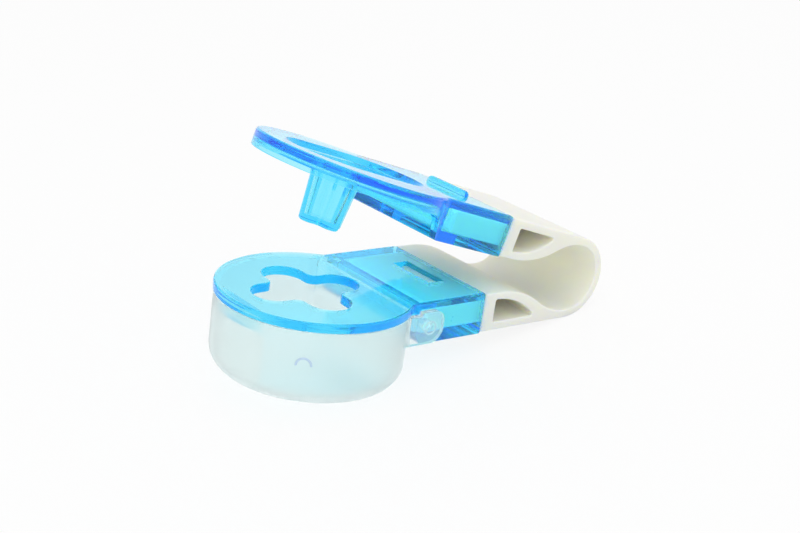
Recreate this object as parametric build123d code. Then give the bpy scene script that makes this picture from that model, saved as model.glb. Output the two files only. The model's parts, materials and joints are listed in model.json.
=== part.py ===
from build123d import *
import os
from math import acos, asin, atan2, cos, degrees, hypot, radians, sin, tan

# Spring-tong tablet remover, in millimetres.
#
# Two clear jaws are snapped on the ends of one U-shaped plastic spring. The upper jaw carries a
# fluted punch, the lower jaw a plate with a hole of the same four-lobed shape, and a catch cup
# hangs on two stub pins under that plate. Squeezing the jaws pushes a tablet out of its blister,
# through the hole and into the cup, which then swings down to be emptied.
#
# Jaw frame: origin at the centre of the round plate, on the jaw's top face. +X runs back to the
# handle, +Y across, +Z out of the top face. Everything is modelled in the lower jaw's frame with
# the jaws closed and parallel. The upper jaw then swings open about the centre of the spring's
# bow, and at the end the whole tool is laid down the way it rests on a table.

# ---- jaws ----
plate_r = 22.5  # radius of each round plate
plate_t = 2.0  # thickness of each round plate
block_w = 34.0  # socket block, across
block_depth = 9.8  # socket block, top face to bottom face
block_rear = 36.8  # rear face of the socket blocks
block_side_wall = 2.5
block_skin = 2.2  # top and bottom walls of the socket
block_front_wall = 2.7
neck_r = 3.0  # concave corner in plan where plate and block meet
block_corner_r = 0.8  # rear corners of the block in plan
block_heel_r = 1.0  # rear lower edge of the block
edge_r = 0.5  # softened long edges of the lower jaw
jaw_gap = 1.2  # space left for the blister between the closed blocks
upper_setback = 0.8  # closed, the upper plate sits this far behind the lower one
open_angle = 16.5  # angle between the relaxed jaws, degrees

# ---- lower jaw ----
hole_x = -2.5  # centre of the four-lobed hole
hole_reach = 13.6  # centre to the end of a lobe
hole_lobe_r = 5.0
hole_neck_r = 2.3  # concave rounding between two lobes
hole_edge_r = 0.4
lower_block_front = 16.1  # front face of its socket block
hinge_corner_r = 3.0  # front lower corner of the block, which the opening cup turns past
latch_chord = 18.9  # flat inner face of the latch tab, ahead of the plate's centre
latch_drop = 3.1  # height of the latch tab below the plate
latch_bead = 0.2  # bead round the tab's outer face
latch_bead_h = 0.8

# ---- upper jaw ----
upper_block_front = 14.6  # front face of its socket block
skirt_h = 3.8  # height of the rim, top face to lower edge
skirt_wall = 1.9
shoulder_r = 7.2  # curve where the rim deepens into the socket block
shoulder_tip_r = 1.0
shoulder_root_r = 6.4  # hollow curve between the plate's underside and the block's front
rim_edge_r = 0.7  # softened top edge
rim_root_r = 1.1  # hollow curve between the plate's underside and the rim
punch_len = 15.4  # top face to the punch's tip
punch_root_reach = 6.9  # lobe reach at the plate
punch_tip_reach = 5.5
punch_root_lobe_r = 2.6
punch_tip_lobe_r = 2.3
punch_neck_r = 0.9
punch_wall = 1.2
punch_floor = 1.6
punch_tip_r = 0.7
dish_x = 0.5  # centre of the oval finger dish in the top face
dish_len = 35.0
dish_w = 23.4
dish_depth = 1.4
dish_slope = 45.0  # slope of its sides, degrees
dish_floor = 1.7  # wall under the dish
dish_round = 0.9  # round corner at its floor
grip_bar_len = 13.6
grip_bar_w = 2.6
grip_bar_h = 1.4
grip_bar_round = 1.1

# ---- snap slots and barbs ----
slot_x = 30.0  # centre of the slot, and of the grip bar on the upper jaw
slot_len = 4.4
slot_w = 13.6
barb_clear = 0.3
barb_rise = 1.3  # how far the barb stands into the slot
barb_land = 1.0  # flat crest of the barb

# ---- spring ----
arm_inset = 0.2  # the arms lie this far inside the blocks' top and bottom faces
spring_wall = 2.0
arm_len = 27.4  # rear face of the lower block to the centre of the bow
arm_flat = 4.3  # level part of the arm's inner face, behind the block
hump_r = 23.5  # the inner face starts to fall on this arc
arm_web = 3.4  # solid web between the block and the D-shaped hole
hump_wall = 1.8  # wall between the D-shaped hole and the arm's inner face
d_hole_end = 10.6  # point of the D-shaped hole, ahead of the bow's centre
d_hole_r = 0.5
spring_edge_r = 0.4
tongue_clear = 0.15  # fit of the tongues in the sockets
tongue_end_gap = 1.2
tongue_wall = 1.8
tongue_lead = 0.6  # chamfer on the tongue's nose

# ---- catch cup ----
cup_gap = 0.3  # rim of the closed cup below the plate
cup_inset = 0.2  # the cup's rim lies this far inside the plate's edge
cup_draft = 0.7  # degrees
cup_bottom = 20.2  # below the lower jaw's top face
cup_wall = 1.3
cup_bottom_r = 5.5
cup_back = 14.3  # flat back wall
cup_corner_r = 0.9
cup_clear = 0.35  # latch tab to the cup's wall
pivot_x = 19.1
pivot_z = -5.3
ear_t = 1.5
ear_gap = 0.3  # ear to the block's side
ear_h = 7.6
ear_rear = 3.9  # rear end of the ear, behind the pivot
ear_step = 2.4  # the ear is full height from this far ahead of the pivot
ear_top_r = 2.6
ear_heel_r = 3.5
pin_r = 1.4
pin_lead = 0.3  # chamfer on the pin's end
pin_clear = 0.06  # running fit of the stub pins
pin_len = 1.6  # into the block
pin_end_gap = 0.3

# ---- derived ----
bow_r = block_depth + jaw_gap / 2 - arm_inset  # both closed arms run tangent into the bow
bow_x = block_rear + arm_len
bow_z = bow_r - block_depth + arm_inset
cup_r = plate_r - cup_inset
punch_x = hole_x - upper_setback  # closed, the punch stands over the hole
upper_z = block_depth + jaw_gap  # the upper jaw's frame with the jaws closed
tongue_nose = lower_block_front + block_front_wall + tongue_end_gap
far = 3 * plate_r  # reach of tools that cut right through


def slab(x0, x1, y0, y1, z0, z1):
    """Box between two corners."""
    return Pos((x0 + x1) / 2, (y0 + y1) / 2, (z0 + z1) / 2) * Box(x1 - x0, y1 - y0, z1 - z0)


def side_profile(sketch, width):
    """Extrude a sketch drawn as (x, z) across the tool, centred on the middle plane."""
    return extrude(Plane.XZ * sketch, amount=width / 2, both=True)


def four_lobes(reach, lobe_r, neck):
    """Two crossed slots with rounded inner corners: the outline of the hole and of the punch."""
    along = SlotOverall(2 * reach, 2 * lobe_r)
    cross = along + Rot(0, 0, 90) * along
    inner = [v for v in cross.vertices() if abs(abs(v.X) - abs(v.Y)) < 0.01]
    straight = reach - 2 * lobe_r
    return fillet(inner, min(neck, 0.9 * straight))


def behind(x, width):
    """Plan area from x backwards."""
    return Pos(x + far / 2, 0) * Rectangle(far, width)


def jaw_plan():
    """Round plate that runs into the rectangular socket block."""
    block = Pos(block_rear / 2, 0) * Rectangle(block_rear, block_w)
    plan = Circle(plate_r) + block
    necks = [v for v in plan.vertices() if 0 < v.X < block_rear - 0.1]
    plan = fillet(necks, neck_r)
    rears = [v for v in plan.vertices() if v.X > block_rear - 0.1]
    return fillet(rears, block_corner_r)


def socket(block_front):
    """Cavity of a block, open at the rear, where a tongue of the spring goes in."""
    half = block_w / 2 - block_side_wall
    front = block_front + block_front_wall
    return slab(front, block_rear + 1, -half, half, block_skin - block_depth, -block_skin)


def low_corner(face, x):
    """Corner of a jaw's side view at x, on the block's lower face."""
    return [v for v in face.vertices() if abs(v.X - x) < 0.01 and abs(v.Y + block_depth) < 0.01]


def snap_slot():
    """Cutter for the slot that the tongue's barb snaps into, from the face at z = 0 down."""
    return Pos(slot_x, 0, -block_skin / 2) * Box(slot_len, slot_w, block_skin + 2)


def top_outline(body):
    """Edges of a jaw's outline in its top face, without the rear end."""
    rim = body.edges().filter_by_position(Axis.Z, -0.01, 0.01)
    return [e for e in rim if e.center().X < block_rear - block_corner_r]


def latch_tab():
    """Tab under the plate's front that holds the closed cup: a segment with a flat inner face."""
    depth = plate_t + latch_drop
    radius = cup_radius(depth) - cup_wall - cup_clear
    segment = Circle(radius) - behind(-latch_chord, far)
    tab = Pos(0, 0, -depth) * extrude(segment, latch_drop + plate_t / 2)
    bead = Circle(radius + latch_bead) - behind(-latch_chord, far)
    return tab + Pos(0, 0, -depth) * extrude(bead, latch_bead_h)


def hole_cutter():
    """Cutter for the four-lobed hole of the plate."""
    outline = four_lobes(hole_reach, hole_lobe_r, hole_neck_r)
    return Pos(hole_x, 0, -plate_t - 1) * extrude(outline, plate_t + 2)


def lower_block_profile():
    """Side view of the lower socket block."""
    length = block_rear - lower_block_front
    face = Pos(lower_block_front + length / 2, -block_depth / 2) * Rectangle(length, block_depth)
    face = fillet(low_corner(face, lower_block_front), hinge_corner_r)
    return fillet(low_corner(face, block_rear), block_heel_r)


def make_lower_jaw():
    plan = jaw_plan()
    block = extrude(plan & behind(lower_block_front, block_w), -block_depth)
    body = extrude(plan, -plate_t) + (block & side_profile(lower_block_profile(), far))
    body -= socket(lower_block_front)
    body = fillet(top_outline(body), edge_r)
    body -= hole_cutter()
    inner = hole_reach + 0.1
    rim = body.edges().filter_by_position(Axis.Z, -0.01, 0.01)
    rim = [e for e in rim if hypot(e.center().X - hole_x, e.center().Y) < inner]
    body = fillet(rim, hole_edge_r)
    body += latch_tab()
    body -= snap_slot()
    pin_hole = Rot(90, 0, 0) * Cylinder(pin_r + pin_clear, 2 * (pin_len + pin_end_gap))
    for side in (-1, 1):
        body -= Pos(pivot_x, side * block_w / 2, pivot_z) * pin_hole
    return body


def punch():
    """Hollow fluted punch, tapering from the plate to its rounded tip."""
    root = four_lobes(punch_root_reach, punch_root_lobe_r, punch_neck_r)
    tip = four_lobes(punch_tip_reach, punch_tip_lobe_r, punch_neck_r)
    solid = loft([Pos(0, 0, -plate_t / 2) * root, Pos(0, 0, -punch_len) * tip], ruled=True)
    end = solid.faces().sort_by(Axis.Z)[0]
    return fillet(end.edges(), punch_tip_r)


def punch_hollow():
    """Inside of the punch, open through the top face."""
    neck = punch_neck_r + punch_wall
    root = four_lobes(punch_root_reach - punch_wall, punch_root_lobe_r - punch_wall, neck)
    tip = four_lobes(punch_tip_reach - punch_wall, punch_tip_lobe_r - punch_wall, neck)
    return loft([root, Pos(0, 0, punch_floor - punch_len) * tip], ruled=True)


def rim_profile():
    """Side view kept of the upper jaw: shallow rim at the front, full depth at the block."""
    drop = block_depth - skirt_h
    turn = acos(1 - drop / shoulder_r)
    start_x = upper_block_front - shoulder_r * sin(turn)
    mid = (start_x + shoulder_r * sin(turn / 2), -skirt_h - shoulder_r * (1 - cos(turn / 2)))
    start = (start_x, -skirt_h)
    corner = (upper_block_front, -block_depth)
    front = -plate_r - 1
    heel = (block_rear, -block_depth)
    line = Polyline(corner, heel, (block_rear, 1), (front, 1), (front, -skirt_h), start)
    face = make_face(line + ThreePointArc(start, mid, corner))
    face = fillet(low_corner(face, block_rear), block_heel_r)
    return fillet(low_corner(face, upper_block_front), shoulder_tip_r)


def grip_bar():
    """Raised bar across the upper block, standing in the plane z = 0."""
    bar = extrude(SlotOverall(grip_bar_len, grip_bar_w), grip_bar_h)
    bar = fillet(bar.faces().sort_by(Axis.Z)[-1].edges(), grip_bar_round)
    foot = extrude(SlotOverall(grip_bar_len, grip_bar_w), -plate_t / 2)
    return Pos(slot_x, 0) * Rot(0, 0, 90) * (bar + foot)


def rim_hollow():
    """Space under the upper plate: rounded along the rim, and down the block's front."""
    inside = offset(jaw_plan(), -skirt_wall) - behind(upper_block_front, far)
    space = extrude(inside, -block_depth)
    roof = space.edges().filter_by_position(Axis.Z, -0.01, 0.01)
    space = fillet([e for e in roof if e.center().X < upper_block_front - 0.1], rim_root_r)
    side = Pos(upper_block_front - far / 2, -far / 2) * Rectangle(far, far)
    corner = side.vertices().sort_by(lambda v: -v.X - v.Y)[0]
    return Pos(0, 0, -plate_t) * (space & side_profile(fillet(corner, shoulder_root_r), far))


def dish():
    """Cutter for the finger dish."""
    straight = dish_len - dish_w
    low_w = dish_w - 2 * dish_depth / tan(radians(dish_slope))
    rim = SlotCenterToCenter(straight, dish_w)
    low = Pos(0, 0, -dish_depth) * SlotCenterToCenter(straight, low_w)
    form = loft([rim, low], ruled=True)
    return fillet(form.faces().sort_by(Axis.Z)[0].edges(), dish_round)


def dish_pad():
    """Raised pad under the plate that keeps a full wall under the finger dish."""
    depth = dish_depth + dish_floor
    pad = extrude(SlotOverall(dish_len, dish_w), -depth)
    return fillet(pad.faces().sort_by(Axis.Z)[0].edges(), dish_round)


def make_upper_jaw():
    body = extrude(jaw_plan(), -block_depth) & side_profile(rim_profile(), far)
    body -= rim_hollow()
    body = fillet(top_outline(body), rim_edge_r)
    body += Pos(dish_x, 0) * dish_pad()
    body -= socket(upper_block_front)
    body += Pos(punch_x, 0) * punch()
    body -= Pos(dish_x, 0) * dish()
    body -= Pos(punch_x, 0) * punch_hollow()
    body += grip_bar()
    return body - Pos(0, 0, -block_depth) * Rot(180, 0, 0) * snap_slot()


def arm_section(bow_at):
    """Side view of an arm, from the jaw's rear face to the bow, above its outer face."""
    top = block_depth - 2 * arm_inset
    hump_x = block_rear + arm_flat
    steep = 2 * atan2(top - spring_wall, bow_at - hump_x)
    join = (hump_x + hump_r * sin(steep), top - hump_r * (1 - cos(steep)))
    low = (bow_at, spring_wall)
    outline = Polyline(low, (bow_at, 0), (block_rear, 0), (block_rear, top), (hump_x, top))
    outline += TangentArc((hump_x, top), join, tangent=(1, 0))
    outline += TangentArc(join, low, tangent=(cos(steep), -sin(steep)))
    return make_face(outline)


def d_hole_section(bow_at):
    """Side view of the D-shaped hole: flat along the outer face, round under the hump."""
    front = block_rear + arm_web
    ceiling = (front, block_depth - 2 * arm_inset - hump_wall)
    tip = (bow_at - d_hole_end, spring_wall)
    outline = Polyline(tip, (front, spring_wall), ceiling)
    outline += TangentArc(ceiling, tip, tangent=(1, 0))
    face = make_face(outline)
    return fillet(face.vertices(), d_hole_r)


def tongue():
    """Ribbed tongue with its barb, in the arm's side-view frame turned to the lower jaw's."""
    half = block_w / 2 - block_side_wall - tongue_clear
    low = block_skin + tongue_clear - arm_inset
    high = block_depth - block_skin - tongue_clear - arm_inset
    body = slab(tongue_nose, block_rear + 1, -half, half, low, high)
    body = chamfer(body.faces().sort_by(Axis.X)[0].edges(), tongue_lead)
    bay = half - 1.5 * tongue_wall
    for side in (-1, 1):
        y0, y1 = sorted((side * tongue_wall / 2, side * (tongue_wall / 2 + bay)))
        body -= slab(tongue_nose - 1, block_rear, y0, y1, low - 1, high - tongue_wall)
    back = slot_x + slot_len / 2 - barb_clear
    front = slot_x - slot_len / 2 + barb_clear
    root = high - tongue_wall / 2
    crest = high + barb_rise
    outline = [(back, root), (back, crest), (back - barb_land, crest), (front, high), (front, root)]
    barb = make_face(Polyline(*outline, close=True))
    return body + side_profile(barb, slot_w - 2 * barb_clear)


def make_arm(bow_at):
    """One spring arm with its tongue: outer face at z = 0, inner face up, bow centred at bow_at."""
    body = side_profile(arm_section(bow_at) - d_hole_section(bow_at), block_w)
    rims = [e for e in body.edges() if abs(abs(e.center().Y) - block_w / 2) < 0.01]
    rims = [e for e in rims if block_rear + 0.1 < e.center().X < bow_at - 0.1]
    body = fillet(rims, spring_edge_r)
    return body + tongue()


def make_bow():
    """Bend of the spring between the two arms, relaxed."""
    outer = CenterArc((0, 0), bow_r, -90, 180 - open_angle)
    inner = CenterArc((0, 0), bow_r - spring_wall, -90, 180 - open_angle)
    outline = outer + Line(outer @ 1, inner @ 1) + inner + Line(inner @ 0, outer @ 0)
    body = side_profile(make_face(outline), block_w)
    rims = body.edges().filter_by(GeomType.CIRCLE)
    return Pos(bow_x, 0, bow_z) * fillet(rims, spring_edge_r)


def cup_radius(depth):
    """Outer radius of the cup's wall at a depth below the lower jaw's top face."""
    return cup_r - (depth - plate_t - cup_gap) * tan(radians(cup_draft))


def cup_form(inset, top, bottom, bottom_r):
    """Tapered D-shaped solid of the cup with its rounded base, shrunk by inset."""
    high = Pos(0, 0, -top) * Circle(cup_radius(top) - inset)
    low = Pos(0, 0, -bottom) * Circle(cup_radius(bottom) - inset)
    bowl = loft([high, low], ruled=True)
    bowl = fillet(bowl.edges().filter_by_position(Axis.Z, -bottom - 0.01, 0.01 - bottom), bottom_r)
    back = slab(-far, cup_back - inset, -far, far, -bottom, -top)
    heel = back.edges().filter_by(Axis.Y).sort_by(lambda e: e.center().Z - e.center().X)[0]
    plan = Circle(cup_radius(top) - inset) - behind(cup_back - inset, far)
    plan = fillet(plan.vertices(), cup_corner_r)
    return bowl & fillet(heel, bottom_r) & Pos(0, 0, -top) * extrude(plan, top - bottom)


def ear():
    """Ear beside the block on the +Y side, with its stub pin pointing inwards."""
    near = block_w / 2 + ear_gap
    low = pivot_z - ear_h / 2
    rear = pivot_x + ear_rear
    tab = slab(pivot_x - ear_step, rear, near, near + ear_t, low, low + ear_h)
    ends = tab.edges().filter_by(Axis.Y).sort_by(Axis.X)[-2:]
    tab = fillet(ends.sort_by(Axis.Z)[-1], ear_top_r)
    ends = tab.edges().filter_by(Axis.Y).filter_by_position(Axis.Z, low - 0.01, low + 0.01)
    tab = fillet(ends.sort_by(Axis.X)[-1], ear_heel_r)
    tab += slab(0, pivot_x, near, near + ear_t, low, -plate_t - cup_gap)
    reach = pin_len + ear_gap + ear_t / 2
    pin = chamfer(Cylinder(pin_r, reach).faces().sort_by(Axis.Z)[-1].edges(), pin_lead)
    return tab + Pos(pivot_x, near + ear_t / 2 - reach / 2, pivot_z) * Rot(90, 0, 0) * pin


def make_cup():
    rim = plate_t + cup_gap
    outer = cup_form(0, rim, cup_bottom, cup_bottom_r)
    body = outer + ear() + mirror(ear(), about=Plane.XZ)
    return body - cup_form(cup_wall, rim - 1, cup_bottom - cup_wall, cup_bottom_r - cup_wall)


def open_jaws(body):
    """Swing a body of the upper jaw from closed to relaxed, about the bow's centre."""
    return Pos(bow_x, 0, bow_z) * Rot(0, open_angle, 0) * Pos(-bow_x, 0, -bow_z) * body


def rest_angle():
    """Tilt of the resting tool: it lies on the cup's rear lower edge and on the bow."""
    dx = bow_x - (cup_back - cup_bottom_r)
    dz = bow_z - (cup_bottom_r - cup_bottom)
    return degrees(atan2(dz, dx) - asin((bow_r - cup_bottom_r) / hypot(dx, dz)))


def make_parts():
    on_top = Pos(upper_setback, 0, upper_z)
    arm_upright = Pos(0, 0, arm_inset - block_depth) * make_arm(bow_x)
    arm_turned = Pos(0, 0, -arm_inset) * Rot(180, 0, 0) * make_arm(bow_x - upper_setback)
    return {
        "lower_jaw": make_lower_jaw(),
        "upper_jaw": open_jaws(on_top * make_upper_jaw()),
        "catch_cup": make_cup(),
        "spring_lower_arm": arm_upright,
        "spring_bow": make_bow(),
        "spring_upper_arm": open_jaws(on_top * arm_turned),
    }


def lay_down(parts):
    """Turn the tool to its resting tilt, with the origin under the middle of its box."""
    turned = {name: Rot(0, rest_angle(), 0) * body for name, body in parts.items()}
    boxes = [body.bounding_box() for body in turned.values()]
    middle_x = (min(box.min.X for box in boxes) + max(box.max.X for box in boxes)) / 2
    floor = min(box.min.Z for box in boxes)
    return {name: Pos(-middle_x, 0, -floor) * body for name, body in turned.items()}


os.makedirs("parts", exist_ok=True)
for name, body in lay_down(make_parts()).items():
    export_step(body, f"parts/{name}.step")
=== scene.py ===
import json
import math

import bpy
from mathutils import Matrix, Vector

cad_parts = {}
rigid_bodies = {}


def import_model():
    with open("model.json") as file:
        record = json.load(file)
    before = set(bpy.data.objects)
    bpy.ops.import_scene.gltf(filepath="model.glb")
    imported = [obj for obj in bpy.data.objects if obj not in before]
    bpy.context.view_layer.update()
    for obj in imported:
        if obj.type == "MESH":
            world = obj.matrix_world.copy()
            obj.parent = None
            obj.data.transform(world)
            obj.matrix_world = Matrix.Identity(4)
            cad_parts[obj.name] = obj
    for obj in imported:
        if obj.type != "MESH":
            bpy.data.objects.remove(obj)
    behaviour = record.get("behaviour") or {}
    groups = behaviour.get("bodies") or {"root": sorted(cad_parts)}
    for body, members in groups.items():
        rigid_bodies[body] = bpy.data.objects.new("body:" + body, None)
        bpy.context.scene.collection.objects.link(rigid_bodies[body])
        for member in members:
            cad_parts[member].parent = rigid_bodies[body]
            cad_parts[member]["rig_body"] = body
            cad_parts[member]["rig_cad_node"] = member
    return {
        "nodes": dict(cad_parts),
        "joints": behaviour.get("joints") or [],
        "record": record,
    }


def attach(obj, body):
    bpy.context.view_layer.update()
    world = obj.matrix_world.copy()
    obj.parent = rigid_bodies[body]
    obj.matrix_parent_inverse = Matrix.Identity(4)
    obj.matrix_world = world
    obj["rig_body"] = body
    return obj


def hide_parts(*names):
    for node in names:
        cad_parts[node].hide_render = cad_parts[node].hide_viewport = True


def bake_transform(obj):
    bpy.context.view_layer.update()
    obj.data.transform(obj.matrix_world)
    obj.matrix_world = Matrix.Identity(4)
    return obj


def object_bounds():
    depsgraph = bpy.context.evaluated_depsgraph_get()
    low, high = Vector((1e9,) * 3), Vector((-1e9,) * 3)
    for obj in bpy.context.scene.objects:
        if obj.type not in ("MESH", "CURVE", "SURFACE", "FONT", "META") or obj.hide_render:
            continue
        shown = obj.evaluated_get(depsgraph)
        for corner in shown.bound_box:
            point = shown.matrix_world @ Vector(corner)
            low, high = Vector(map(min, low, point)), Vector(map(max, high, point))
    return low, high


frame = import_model()
cad_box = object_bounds()

bl_info = {
    "name": "Tablet Remover",
    "version": (1, 0, 0),
    "blender": (4, 5, 0),
    "location": "View3D > Sidebar > Tablet Remover",
    "description": "Dresses a spring-tong tablet remover: clear jaws, milky cup and white spring",
    "category": "Object",
}

MM = 0.001
SPRING_NODES = ("spring_lower_arm", "spring_bow", "spring_upper_arm")


# ---------------------------------------------------------------- the tool's own directions


def joint(name):
    """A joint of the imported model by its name."""
    return next(j for j in frame["joints"] if j["name"] == name)


def mount(name):
    """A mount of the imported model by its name."""
    return next(m for m in frame["record"]["mounts"] if m["name"] == name)


def jaw_axes():
    """Directions of the lower jaw at rest: back to the handle, and out of its top face."""
    up = Vector(mount("blister_face")["axis"])
    back = Vector((up.z, 0.0, -up.x))
    return back, up


BOW_CENTRE = Vector(joint("jaw_squeeze")["pos_m"])
OPEN_ANGLE = math.radians(joint("jaw_squeeze")["range_deg"][1])
PIVOT = Vector(joint("cup_hinge")["pos_m"])
BACK, UP = jaw_axes()
MOUNT_BACK = 20.0 * MM  # from the centre of the round plate back to the blister_face mount
PLATE_TOP = Vector(mount("blister_face")["pos_m"]) - MOUNT_BACK * BACK  # centre of the round plate
LAY = Matrix.Translation(PLATE_TOP) @ Matrix((BACK, (0.0, 1.0, 0.0), UP)).transposed().to_4x4()

CUP_R = 22.2 * MM  # outside of the cup's wall, half way down
CUP_FLOOR = -18.9 * MM  # bottom of the web, inside the cup's floor
EAR_FACE = 18.8 * MM  # outer face of the ear, from the middle
EAR_ROOT = PIVOT.x - 5.6 * MM  # where the ears leave the cup's round wall
BLOCK_FACE = 17.0 * MM  # side of the socket block, from the middle
POLISH_EDGE = 0.3 * MM  # half width of the change from the frosted wall to the polished ears

BLUE_IOR = 1.3  # both below the plastics' own 1.5, so that the edges stay light
MILKY_IOR = 1.35
TURNS_INSIDE = 3.5  # light that has turned more often than this inside the plastic leaves straight

SEAM_REACHES = (0.004 * MM, 0.03 * MM)  # slivers along the spring's seams, then at their corners

LAMP_SIZE = 0.6
KEY_AT = (-0.12, -0.12, 0.65)
FILL_AT = (-0.45, -0.35, 0.30)


# ---------------------------------------------------------------- settings


class ClearPlasticSettings(bpy.types.PropertyGroup):
    colour: bpy.props.FloatVectorProperty(
        name="Colour", description="Colour of light that crosses a thin wall",
        subtype="COLOR", size=3, min=0.0, max=1.0, default=(0.66, 0.955, 1.0),
    )
    clearness: bpy.props.FloatProperty(
        name="Clearness", description="Share of the light that passes clean through",
        subtype="FACTOR", min=0.0, max=1.0, default=0.97,
    )
    tint: bpy.props.FloatVectorProperty(
        name="Tint", description="Colour that a long way through the plastic keeps",
        subtype="COLOR", size=3, min=0.0, max=1.0, default=(0.0, 0.85, 1.0),
    )
    density: bpy.props.FloatProperty(
        name="Density", description="How quickly the plastic takes on its tint, per metre",
        min=0.0, default=260.0,
    )
    roughness: bpy.props.FloatProperty(
        name="Roughness", description="Roughness of the polished mould's surface",
        subtype="FACTOR", min=0.0, max=1.0, default=0.06,
    )


class CupSettings(bpy.types.PropertyGroup):
    colour: bpy.props.FloatVectorProperty(
        name="Colour", description="Colour of the milky plastic",
        subtype="COLOR", size=3, min=0.0, max=1.0, default=(0.865, 0.945, 0.94),
    )
    clearness: bpy.props.FloatProperty(
        name="Clearness", description="Share of the light that passes through the wall",
        subtype="FACTOR", min=0.0, max=1.0, default=0.8,
    )
    roughness: bpy.props.FloatProperty(
        name="Roughness", description="Roughness of the frosted surface",
        subtype="FACTOR", min=0.0, max=1.0, default=0.3,
    )
    ear_roughness: bpy.props.FloatProperty(
        name="Ear roughness", description="Roughness of the polished ears",
        subtype="FACTOR", min=0.0, max=1.0, default=0.12,
    )


class SpringSettings(bpy.types.PropertyGroup):
    colour: bpy.props.FloatVectorProperty(
        name="Colour", description="Colour of the natural white plastic",
        subtype="COLOR", size=3, min=0.0, max=1.0, default=(0.94, 0.93, 0.85),
    )
    roughness: bpy.props.FloatProperty(
        name="Roughness", description="Roughness of the moulded surface",
        subtype="FACTOR", min=0.0, max=1.0, default=0.42,
    )
    bend: bpy.props.FloatProperty(
        name="Bend", description="Half height of the part of the bow that bends",
        subtype="DISTANCE", unit="LENGTH", min=0.0005, default=3.3 * MM,
    )


class MarkSettings(bpy.types.PropertyGroup):
    web_at: bpy.props.FloatProperty(
        name="Web", description="Place of the cup's front web, back from the plate's centre",
        subtype="DISTANCE", unit="LENGTH", default=-19.1 * MM,
    )
    gate_turn: bpy.props.FloatProperty(
        name="Gate turn", description="Where on the cup's round wall the gate mark sits",
        subtype="ANGLE", default=math.radians(-129.0),
    )
    gate_height: bpy.props.FloatProperty(
        name="Gate height", description="Height of the gate mark, from the plate's top face",
        subtype="DISTANCE", unit="LENGTH", default=-9.9 * MM,
    )
    gate_radius: bpy.props.FloatProperty(
        name="Gate radius", description="Radius of the gate mark's half ring",
        subtype="DISTANCE", unit="LENGTH", min=0.0005, default=1.65 * MM,
    )
    # Darker and bluer than the cup: painted shade on the gate mark's half ring, standing in for the
    # shade that its rim catches.
    gate_colour: bpy.props.FloatVectorProperty(
        name="Gate colour", description="Colour of the cup's plastic at its gate mark",
        subtype="COLOR", size=3, min=0.0, max=1.0, default=(0.64, 0.74, 0.92),
    )
    ring_radius: bpy.props.FloatProperty(
        name="Ring radius", description="Radius of the ring round each pin",
        subtype="DISTANCE", unit="LENGTH", min=0.0005, default=1.5 * MM,
    )


class StageSettings(bpy.types.PropertyGroup):
    lens: bpy.props.FloatProperty(
        name="Lens", description="Focal length of the camera in millimetres",
        min=10.0, default=68.26,
    )
    eye: bpy.props.FloatVectorProperty(
        name="Camera place", description="Where the camera stands",
        subtype="TRANSLATION", unit="LENGTH", size=3, default=(-0.19530, -0.24917, 0.17276),
    )
    turn: bpy.props.FloatVectorProperty(
        name="Camera turn", description="How the camera is turned",
        subtype="EULER", size=3,
        default=(math.radians(64.082), math.radians(0.549), math.radians(-38.311)),
    )
    floor: bpy.props.FloatVectorProperty(
        name="Floor", description="Colour of the table and backdrop",
        subtype="COLOR", size=3, min=0.0, max=1.0, default=(0.94, 0.94, 0.94),
    )
    whiteness: bpy.props.FloatProperty(
        name="Whiteness", description="Share of plain white in the table where it is seen",
        subtype="FACTOR", min=0.0, max=1.0, default=0.85,
    )
    key: bpy.props.FloatProperty(
        name="Key light", description="Power of the large soft lamp",
        subtype="POWER", min=0.0, default=1.0,
    )
    fill: bpy.props.FloatProperty(
        name="Fill light", description="Power of the low lamp in front of the jaws",
        subtype="POWER", min=0.0, default=0.2,
    )
    sky: bpy.props.FloatProperty(
        name="Surroundings", description="Brightness of the room's white walls",
        min=0.0, default=0.78,
    )


class TabletRemoverSettings(bpy.types.PropertyGroup):
    clear: bpy.props.PointerProperty(type=ClearPlasticSettings)
    cup: bpy.props.PointerProperty(type=CupSettings)
    spring: bpy.props.PointerProperty(type=SpringSettings)
    marks: bpy.props.PointerProperty(type=MarkSettings)
    stage: bpy.props.PointerProperty(type=StageSettings)


# ---------------------------------------------------------------- materials


def node(tree, kind, **values):
    """Add a shader node with the values of some of its sockets."""
    made = tree.nodes.new(kind)
    for name, value in values.items():
        made.inputs[name.replace("_", " ")].default_value = value
    return made


def maths(tree, operation, *values):
    """Output of a maths node; each value is a number or another node's output."""
    made = tree.nodes.new("ShaderNodeMath")
    made.operation = operation
    for socket, value in zip(made.inputs, values):
        if isinstance(value, bpy.types.NodeSocket):
            tree.links.new(value, socket)
        else:
            socket.default_value = value
    return made.outputs[0]


def mixed(tree, share, first, second):
    """Mix two shader nodes by the share of the second."""
    mix = tree.nodes.new("ShaderNodeMixShader")
    tree.links.new(share, mix.inputs["Fac"])
    tree.links.new(first.outputs[0], mix.inputs[1])
    tree.links.new(second.outputs[0], mix.inputs[2])
    return mix


def lay_out(tree):
    """Set the nodes out in columns, each to the left of what it feeds."""
    column = {made.name: 0 for made in tree.nodes}
    for _ in tree.nodes:
        for link in tree.links:
            giver, taker = link.from_node.name, link.to_node.name
            column[giver] = max(column[giver], column[taker] + 1)
    filled = dict.fromkeys(column.values(), 0)
    for made in tree.nodes:
        step = column[made.name]
        made.location = (-250.0 * step, -350.0 * filled[step])
        filled[step] += 1


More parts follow.
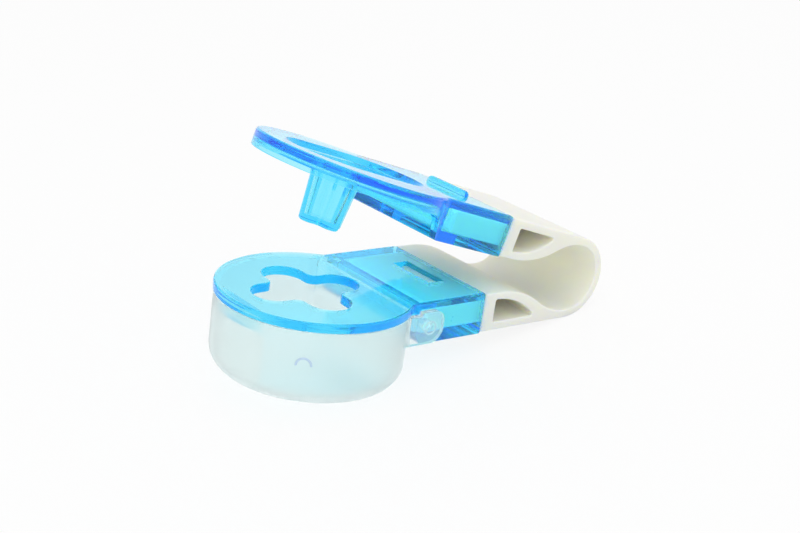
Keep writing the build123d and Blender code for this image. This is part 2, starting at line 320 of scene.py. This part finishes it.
def moulded_surface():
    """Shared effect of a moulded skin: slight unevenness of gloss and level."""
    group = bpy.data.node_groups.get("Moulded Skin")
    if group:
        return group
    group = bpy.data.node_groups.new("Moulded Skin", "ShaderNodeTree")
    for name in ("Wave Size", "Grain Size", "Roughness", "Variation", "Grain"):
        group.interface.new_socket(name, in_out="INPUT", socket_type="NodeSocketFloat")
    for name in ("Roughness", "Height"):
        group.interface.new_socket(name, in_out="OUTPUT", socket_type="NodeSocketFloat")
    given = node(group, "NodeGroupInput").outputs
    result = node(group, "NodeGroupOutput").inputs
    place = node(group, "ShaderNodeTexCoord")
    wave = node(group, "ShaderNodeTexNoise", Detail=2.0)
    grain = node(group, "ShaderNodeTexNoise", Detail=3.0)
    link = group.links.new
    for pattern, size in ((wave, "Wave Size"), (grain, "Grain Size")):
        link(place.outputs["Object"], pattern.inputs["Vector"])
        link(given[size], pattern.inputs["Scale"])
    centred = maths(group, "SUBTRACT", wave.outputs["Fac"], 0.5)
    gloss = maths(group, "MULTIPLY_ADD", centred, given["Variation"], given["Roughness"])
    level = maths(group, "MULTIPLY_ADD", grain.outputs["Fac"], given["Grain"], wave.outputs["Fac"])
    link(gloss, result["Roughness"])
    link(level, result["Height"])
    lay_out(group)
    return group


def moulded_material(name, colour, skin, bump):
    """Material whose Principled shader takes its gloss and level from the moulded skin."""
    material = bpy.data.materials.new(name)
    material.use_nodes = True
    tree = material.node_tree
    shader = tree.nodes["Principled BSDF"]
    shader.inputs["Base Color"].default_value = (*colour, 1.0)
    surface = tree.nodes.new("ShaderNodeGroup")
    surface.node_tree = moulded_surface()
    for socket, value in skin.items():
        surface.inputs[socket].default_value = value
    relief = node(tree, "ShaderNodeBump", Strength=bump, Distance=0.02 * MM)
    tree.links.new(surface.outputs["Roughness"], shader.inputs["Roughness"])
    tree.links.new(surface.outputs["Height"], relief.inputs["Height"])
    tree.links.new(relief.outputs["Normal"], shader.inputs["Normal"])
    return material, shader, surface


def let_light_out(tree, shader, colour):
    """Let lamp light cross the plastic, and let out straight what has turned often inside it."""
    path = node(tree, "ShaderNodeLightPath")
    straight = node(tree, "ShaderNodeBsdfRefraction", Roughness=0.0, IOR=1.0)
    clear = node(tree, "ShaderNodeBsdfTransparent", Color=(*colour, 1.0))
    deep = maths(tree, "GREATER_THAN", path.outputs["Ray Depth"], TURNS_INSIDE)
    inside = mixed(tree, deep, shader, straight)
    crossed = mixed(tree, path.outputs["Is Shadow Ray"], inside, clear)
    tree.links.new(crossed.outputs[0], tree.nodes["Material Output"].inputs["Surface"])


def clear_blue(settings):
    """Tinted clear plastic: pale where it is thin and deep blue along its edges."""
    skin = {
        "Wave Size": 120.0, "Grain Size": 1500.0,
        "Roughness": settings.roughness, "Variation": 0.03, "Grain": 0.03,
    }
    material, shader, _ = moulded_material("clear_blue_plastic", settings.colour, skin, bump=0.06)
    tree = material.node_tree
    shader.inputs["IOR"].default_value = BLUE_IOR
    shader.inputs["Transmission Weight"].default_value = settings.clearness
    tint = (*settings.tint, 1.0)
    inside = node(tree, "ShaderNodeVolumeAbsorption", Color=tint, Density=settings.density)
    tree.links.new(inside.outputs["Volume"], tree.nodes["Material Output"].inputs["Volume"])
    let_light_out(tree, shader, (0.97, 1.0, 1.0))
    lay_out(tree)
    return material


def milky_plastic(settings, name, colour):
    """Natural plastic of the cup: milky, frosted and half clear, with polished ears."""
    skin = {"Wave Size": 90.0, "Grain Size": 1800.0, "Variation": 0.03, "Grain": 0.3}
    material, shader, surface = moulded_material(name, colour, skin, bump=0.2)
    tree = material.node_tree
    shader.inputs["IOR"].default_value = MILKY_IOR
    shader.inputs["Transmission Weight"].default_value = settings.clearness
    place = node(tree, "ShaderNodeTexCoord")
    along = node(tree, "ShaderNodeSeparateXYZ")
    polish = node(
        tree, "ShaderNodeMapRange",
        From_Min=EAR_ROOT - POLISH_EDGE, From_Max=EAR_ROOT + POLISH_EDGE,
        To_Min=settings.roughness, To_Max=settings.ear_roughness,
    )
    tree.links.new(place.outputs["Object"], along.inputs["Vector"])
    tree.links.new(along.outputs["X"], polish.inputs["Value"])
    tree.links.new(polish.outputs["Result"], surface.inputs["Roughness"])
    let_light_out(tree, shader, (0.97, 0.98, 0.98))
    lay_out(tree)
    return material


def white_plastic(settings):
    """Slightly warm white plastic of the spring, which glows a little where it is thin."""
    skin = {
        "Wave Size": 60.0, "Grain Size": 2200.0,
        "Roughness": settings.roughness, "Variation": 0.1, "Grain": 0.4,
    }
    material, shader, _ = moulded_material("spring_white_plastic", settings.colour, skin, bump=0.25)
    shader.inputs["Subsurface Weight"].default_value = 1.0
    shader.inputs["Subsurface Radius"].default_value = (1.0, 0.9, 0.45)
    shader.inputs["Subsurface Scale"].default_value = 2.0 * MM
    lay_out(material.node_tree)
    return material


def dress(piece, material):
    """Give a piece one material all over."""
    piece.data.materials.clear()
    piece.data.materials.append(material)


# ---------------------------------------------------------------- modelling helpers


def deselect_all():
    """Leave edit mode and select nothing."""
    if bpy.context.object and bpy.context.object.mode != "OBJECT":
        bpy.ops.object.mode_set(mode="OBJECT")
    bpy.ops.object.select_all(action="DESELECT")


def active(piece):
    """Select one piece alone and make it active."""
    deselect_all()
    piece.select_set(True)
    bpy.context.view_layer.objects.active = piece


def nothing_chosen(mesh):
    """Take every vertex, edge and face of a mesh out of the selection."""
    for part in (mesh.vertices, mesh.edges, mesh.polygons):
        part.foreach_set("select", [False] * len(part))


def settle():
    """Put the selected object's place, turn and size into its mesh."""
    bpy.ops.object.transform_apply(location=True, rotation=True, scale=True)


def joined(parts, name):
    """Join some mesh objects into one, selected alone and named."""
    deselect_all()
    for part in parts:
        part.select_set(True)
    bpy.context.view_layer.objects.active = parts[0]
    if len(parts) > 1:
        bpy.ops.object.join()
    piece = bpy.context.view_layer.objects.active
    piece.name = name
    piece.data.name = name
    return piece


def copy_of_nodes(sources, name):
    """One new mesh object with copies of some nodes' meshes, merged into closed surfaces."""
    copies = []
    for source in sources:
        copy = frame["nodes"][source].copy()
        copy.data = copy.data.copy()
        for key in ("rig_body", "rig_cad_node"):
            if key in copy:
                del copy[key]
        copy.parent = None
        bpy.context.scene.collection.objects.link(copy)
        copies.append(copy)
    piece = joined(copies, name)
    if piece.data.has_custom_normals:
        bpy.ops.mesh.customdata_custom_splitnormals_clear()
    bpy.ops.object.mode_set(mode="EDIT")
    bpy.ops.mesh.select_all(action="SELECT")
    bpy.ops.mesh.remove_doubles(threshold=0.002 * MM)
    bpy.ops.object.mode_set(mode="OBJECT")
    return piece


def delete_faces_on_plane(piece, point, normal):
    """Delete the faces that lie in a plane and close the seam that they leave."""
    nothing_chosen(piece.data)
    for face in piece.data.polygons:
        level = abs((face.center - point).dot(normal))
        face.select = level < 0.005 * MM and abs(face.normal.dot(normal)) > 0.999
    active(piece)
    bpy.ops.object.mode_set(mode="EDIT")
    bpy.ops.mesh.select_mode(type="FACE")
    bpy.ops.mesh.delete(type="FACE")
    bpy.ops.mesh.select_mode(type="VERT")
    for reach in SEAM_REACHES:
        bpy.ops.mesh.select_all(action="DESELECT")
        bpy.ops.mesh.select_non_manifold()
        bpy.ops.mesh.remove_doubles(threshold=reach)
    bpy.ops.mesh.select_all(action="DESELECT")
    bpy.ops.mesh.select_non_manifold()
    bpy.ops.mesh.fill_holes(sides=0)
    bpy.ops.object.mode_set(mode="OBJECT")


def round_edges(piece, height, along, radius, segments):
    """Bevel the edges at one height that run along one direction."""
    active(piece)
    bpy.context.tool_settings.mesh_select_mode = (False, True, False)
    axis = "XYZ".index(along)
    points = piece.data.vertices
    nothing_chosen(piece.data)
    for edge in piece.data.edges:
        start, end = (points[i].co for i in edge.vertices)
        level = max(abs(start.z - height), abs(end.z - height)) < 0.1 * MM
        run = end - start
        edge.select = level and abs(run[axis]) > 0.999 * run.length
    bpy.ops.object.mode_set(mode="EDIT")
    bpy.ops.mesh.bevel(offset=radius, segments=segments)
    bpy.ops.object.mode_set(mode="OBJECT")
    bpy.context.tool_settings.mesh_select_mode = (True, False, False)


def smooth(piece, degrees=35.0):
    """Shade a piece smooth, with its edges kept sharp."""
    active(piece)
    bpy.ops.object.shade_smooth_by_angle(angle=math.radians(degrees))


def ring(radius, thick, at, turn):
    """Ring of round section whose axis lies along Y before it is turned about Z."""
    bpy.ops.mesh.primitive_torus_add(
        major_radius=radius, minor_radius=thick, major_segments=64, minor_segments=16,
        location=at, rotation=(math.radians(90), 0.0, turn),
    )
    settle()
    return bpy.context.object


def rounded_bar(length, width, at, tilt):
    """Slender bar with rounded ends, along X and tilted towards Z."""
    bpy.ops.mesh.primitive_uv_sphere_add(
        segments=24, ring_count=13, radius=width / 2,
        location=at, rotation=(0.0, math.radians(90) + tilt, 0.0),
    )
    settle()
    bar = bpy.context.object
    half = (length - width) / 2
    along = Matrix.Rotation(tilt, 3, "Y") @ Vector((1.0, 0.0, 0.0))
    active(bar)
    for side in (-1.0, 1.0):
        for vertex in bar.data.vertices:
            vertex.select = (vertex.co - Vector(at)).dot(along) * side > width * 0.01
        bpy.ops.object.mode_set(mode="EDIT")
        bpy.ops.mesh.select_mode(type="VERT")
        bpy.ops.transform.translate(value=side * half * along)
        bpy.ops.mesh.select_all(action="DESELECT")
        bpy.ops.object.mode_set(mode="OBJECT")
    return bar


def laid_down(parts, name):
    """Join parts modelled in the lower jaw's own directions and lay them down in their place."""
    piece = joined(parts, name)
    piece.matrix_world = LAY @ piece.matrix_world
    settle()
    smooth(piece)
    return piece


def belongs(piece, body, material):
    """Give a piece its body and the plastic of the part that it is moulded on."""
    dress(piece, bpy.data.materials[material])
    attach(piece, body)


# ---------------------------------------------------------------- operators


class OBJECT_OT_clear_jaws(bpy.types.Operator):
    """Dress both jaws in the tinted clear plastic"""

    bl_idname = "object.tablet_remover_jaws"
    bl_label = "Clear Jaws"

    def execute(self, context):
        material = clear_blue(context.scene.tablet_remover.clear)
        for name in ("lower_jaw", "upper_jaw"):
            dress(frame["nodes"][name], material)
        return {"FINISHED"}


class OBJECT_OT_catch_cup(bpy.types.Operator):
    """Dress the catch cup in milky plastic"""

    bl_idname = "object.tablet_remover_cup"
    bl_label = "Catch Cup"

    def execute(self, context):
        settings = context.scene.tablet_remover.cup
        dress(frame["nodes"]["catch_cup"], milky_plastic(settings, "milky_plastic", settings.colour))
        return {"FINISHED"}


class OBJECT_OT_cup_web(bpy.types.Operator):
    """Flat web across the front of the cup, under the latch tab"""

    bl_idname = "object.tablet_remover_web"
    bl_label = "Cup Web"

    def execute(self, context):
        at = context.scene.tablet_remover.marks.web_at
        thick = 0.6 * MM
        width = 18.4 * MM
        top = -5.6 * MM
        foot_round = 4.3 * MM
        lip_round = 0.25 * MM
        deselect_all()
        bpy.ops.mesh.primitive_cube_add(size=1.0, location=(at, 0.0, (top + CUP_FLOOR) / 2))
        web = bpy.context.object
        web.scale = (thick, width, top - CUP_FLOOR)
        settle()
        round_edges(web, CUP_FLOOR, "X", foot_round, segments=12)
        round_edges(web, top, "Y", lip_round, segments=3)
        belongs(laid_down([web], "cup_web"), "cup", "milky_plastic")
        return {"FINISHED"}


class OBJECT_OT_moulding_marks(bpy.types.Operator):
    """Small marks of the mould: gate on the cup, rings and lines on its ears, nick on the block"""

    bl_idname = "object.tablet_remover_marks"
    bl_label = "Moulding Marks"

    def execute(self, context):
        settings = context.scene.tablet_remover
        self.gate(settings.marks, settings.cup)
        self.ears(settings.marks)
        self.nick()
        return {"FINISHED"}

    def gate(self, marks, cup):
        """Raised half ring where the plastic entered the cup's mould, in a darker bluish plastic
        whose colour is painted shade on the ring.
        """
        thick = 0.26 * MM
        sink = 0.03 * MM
        out = Vector((math.cos(marks.gate_turn), math.sin(marks.gate_turn), 0.0))
        middle = out * (CUP_R - sink) + Vector((0.0, 0.0, marks.gate_height))
        deselect_all()
        mark = ring(marks.gate_radius, thick, middle, marks.gate_turn + math.radians(90))
        bpy.ops.object.mode_set(mode="EDIT")
        bpy.ops.mesh.select_all(action="SELECT")
        bpy.ops.mesh.bisect(
            plane_co=middle, plane_no=(0.0, 0.0, 1.0), clear_inner=True, use_fill=True,
        )
        bpy.ops.object.mode_set(mode="OBJECT")
        # The gate mark's darker bluish plastic is painted shade, not a colour of its own.
        milky_plastic(cup, "gate_shaded_plastic", marks.gate_colour)
        belongs(laid_down([mark], "gate_mark"), "cup", "gate_shaded_plastic")

    def ears(self, marks):
        """Ring round each pin, and the mould's parting line across the ear."""
        ring_thick = 0.2 * MM
        line_length = 9.8 * MM
        line_width = 0.26 * MM
        line_ahead = 1.4 * MM
        pin = LAY.inverted() @ PIVOT
        for side, name in ((-1.0, "near_ear_marks"), (1.0, "far_ear_marks")):
            deselect_all()
            face = side * EAR_FACE
            boss = ring(marks.ring_radius, ring_thick, (pin.x, face, pin.z), 0.0)
            line = rounded_bar(line_length, line_width, (pin.x - line_ahead, face, pin.z), 0.0)
            belongs(laid_down([boss, line], name), "cup", "milky_plastic")

    def nick(self):
        """Two short slanted strokes left by the gate on the block's side."""
        width = 0.3 * MM
        slant = math.radians(-62)
        strokes = []
        deselect_all()
        for back, height, length in ((27.25, -4.2, 0.9), (26.85, -5.3, 0.5)):
            at = (back * MM, -BLOCK_FACE, height * MM)
            strokes.append(rounded_bar(length * MM, width, at, slant))
        piece = laid_down(strokes, "block_gate_mark")
        belongs(piece, "lower_half", "clear_blue_plastic")


class OBJECT_OT_u_spring(bpy.types.Operator):
    """Join the two arms and the bow into one spring of white plastic, in place of the three parts"""

    bl_idname = "object.tablet_remover_spring"
    bl_label = "U-Spring"

    def execute(self, context):
        settings = context.scene.tablet_remover.spring
        spring = copy_of_nodes(SPRING_NODES, "u_spring")
        turn = Matrix.Rotation(OPEN_ANGLE, 3, "Y")
        delete_faces_on_plane(spring, BOW_CENTRE, BACK)
        delete_faces_on_plane(spring, BOW_CENTRE, turn @ BACK)
        smooth(spring)
        dress(spring, white_plastic(settings))
        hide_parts(*SPRING_NODES)
        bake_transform(spring)
        return {"FINISHED"}


def seen_as_white(tree, by_camera):
    """One where a surface shows in a gloss or through clear plastic, by_camera where it is seen."""
    path = node(tree, "ShaderNodeLightPath")
    seen = maths(tree, "MULTIPLY", path.outputs["Is Camera Ray"], by_camera)
    for ray in ("Is Glossy Ray", "Is Transmission Ray"):
        seen = maths(tree, "MAXIMUM", seen, path.outputs[ray])
    return seen


def lamp(name, power, at, aim):
    """Large soft lamp that points at a place."""
    data = bpy.data.lights.new(name, "AREA")
    data.shape = "DISK"
    data.size = LAMP_SIZE
    data.energy = power
    made = bpy.data.objects.new(name, data)
    made.location = at
    made.rotation_euler = (Vector(aim) - Vector(at)).to_track_quat("-Z", "Y").to_euler()
    bpy.context.scene.collection.objects.link(made)


class OBJECT_OT_stage(bpy.types.Operator):
    """Lay the pale table and backdrop, set the lamps, the white room and the camera"""

    bl_idname = "object.tablet_remover_stage"
    bl_label = "Stage"

    def execute(self, context):
        settings = context.scene.tablet_remover.stage
        self.table(settings)
        self.room(context.scene, settings)
        lamp("key_lamp", settings.key, KEY_AT, (0.0, 0.0, 0.02))
        lamp("fill_lamp", settings.fill, FILL_AT, (0.0, 0.0, 0.03))
        self.camera(context.scene, settings)
        return {"FINISHED"}

    def table(self, settings):
        """Wide plain table, just under the tool."""
        gap = 0.02 * MM
        deselect_all()
        bpy.ops.mesh.primitive_plane_add(size=3.0, location=(0.0, 0.0, cad_box[0][2] - gap))
        settle()
        table = bpy.context.object
        table.name = "table"
        material = bpy.data.materials.new("pale_table")
        material.use_nodes = True
        tree = material.node_tree
        shader = tree.nodes["Principled BSDF"]
        shader.inputs["Base Color"].default_value = (*settings.floor, 1.0)
        shader.inputs["Roughness"].default_value = 0.9
        shader.inputs["Specular IOR Level"].default_value = 0.1
        white = node(tree, "ShaderNodeEmission", Strength=1.0)
        mix = mixed(tree, seen_as_white(tree, settings.whiteness), shader, white)
        tree.links.new(mix.outputs[0], tree.nodes["Material Output"].inputs["Surface"])
        lay_out(tree)
        dress(table, material)

    def room(self, scene, settings):
        """White surroundings: plain light on the object, pure white where they are seen."""
        world = bpy.data.worlds.new("white_room")
        world.use_nodes = True
        tree = world.node_tree
        background = tree.nodes["Background"]
        background.inputs["Color"].default_value = (1.0, 1.0, 1.0, 1.0)
        strength = node(tree, "ShaderNodeMapRange", To_Min=settings.sky, To_Max=1.0)
        tree.links.new(seen_as_white(tree, 1.0), strength.inputs["Value"])
        tree.links.new(strength.outputs["Result"], background.inputs["Strength"])
        lay_out(tree)
        scene.world = world
        scene.view_settings.view_transform = "Standard"

    def camera(self, scene, settings):
        """Camera that looks down on the tool from in front of its jaws."""
        data = bpy.data.cameras.new("camera")
        data.lens = settings.lens
        data.sensor_width = 36.0
        camera = bpy.data.objects.new("camera", data)
        camera.location = settings.eye
        camera.rotation_euler = settings.turn
        scene.collection.objects.link(camera)
        scene.camera = camera


# ---------------------------------------------------------------- panel and registration


class VIEW3D_PT_tablet_remover(bpy.types.Panel):
    """Sidebar panel with the settings and the steps"""

    bl_label = "Tablet Remover"
    bl_idname = "VIEW3D_PT_tablet_remover"
    bl_space_type = "VIEW_3D"
    bl_region_type = "UI"
    bl_category = "Tablet Remover"

    def draw(self, context):
        settings = context.scene.tablet_remover
        steps = (
            (OBJECT_OT_clear_jaws, settings.clear, "colour clearness tint density roughness"),
            (OBJECT_OT_catch_cup, settings.cup, "colour clearness roughness ear_roughness"),
            (OBJECT_OT_cup_web, settings.marks, "web_at"),
            (
                OBJECT_OT_moulding_marks, settings.marks,
                "gate_turn gate_height gate_radius gate_colour ring_radius",
            ),
            (OBJECT_OT_u_spring, settings.spring, "colour roughness bend"),
            (OBJECT_OT_stage, settings.stage, "lens eye turn floor whiteness key fill sky"),
        )
        for operator, group, names in steps:
            box = self.layout.box()
            for name in names.split():
                box.prop(group, name)
            box.operator(operator.bl_idname)


SETTINGS = (
    ClearPlasticSettings, CupSettings, SpringSettings, MarkSettings, StageSettings,
    TabletRemoverSettings,
)
OPERATORS = (
    OBJECT_OT_clear_jaws, OBJECT_OT_catch_cup, OBJECT_OT_cup_web, OBJECT_OT_moulding_marks,
    OBJECT_OT_u_spring, OBJECT_OT_stage,
)
CLASSES = SETTINGS + OPERATORS + (VIEW3D_PT_tablet_remover,)


def register():
    for made in CLASSES:
        bpy.utils.register_class(made)
    bpy.types.Scene.tablet_remover = bpy.props.PointerProperty(type=TabletRemoverSettings)


def unregister():
    del bpy.types.Scene.tablet_remover
    for made in reversed(CLASSES):
        bpy.utils.unregister_class(made)


def main():
    register()
    bpy.ops.object.tablet_remover_jaws()
    bpy.ops.object.tablet_remover_cup()
    bpy.ops.object.tablet_remover_web()
    bpy.ops.object.tablet_remover_marks()
    bpy.ops.object.tablet_remover_spring()
    bpy.ops.object.tablet_remover_stage()


if __name__ == "__main__":
    main()
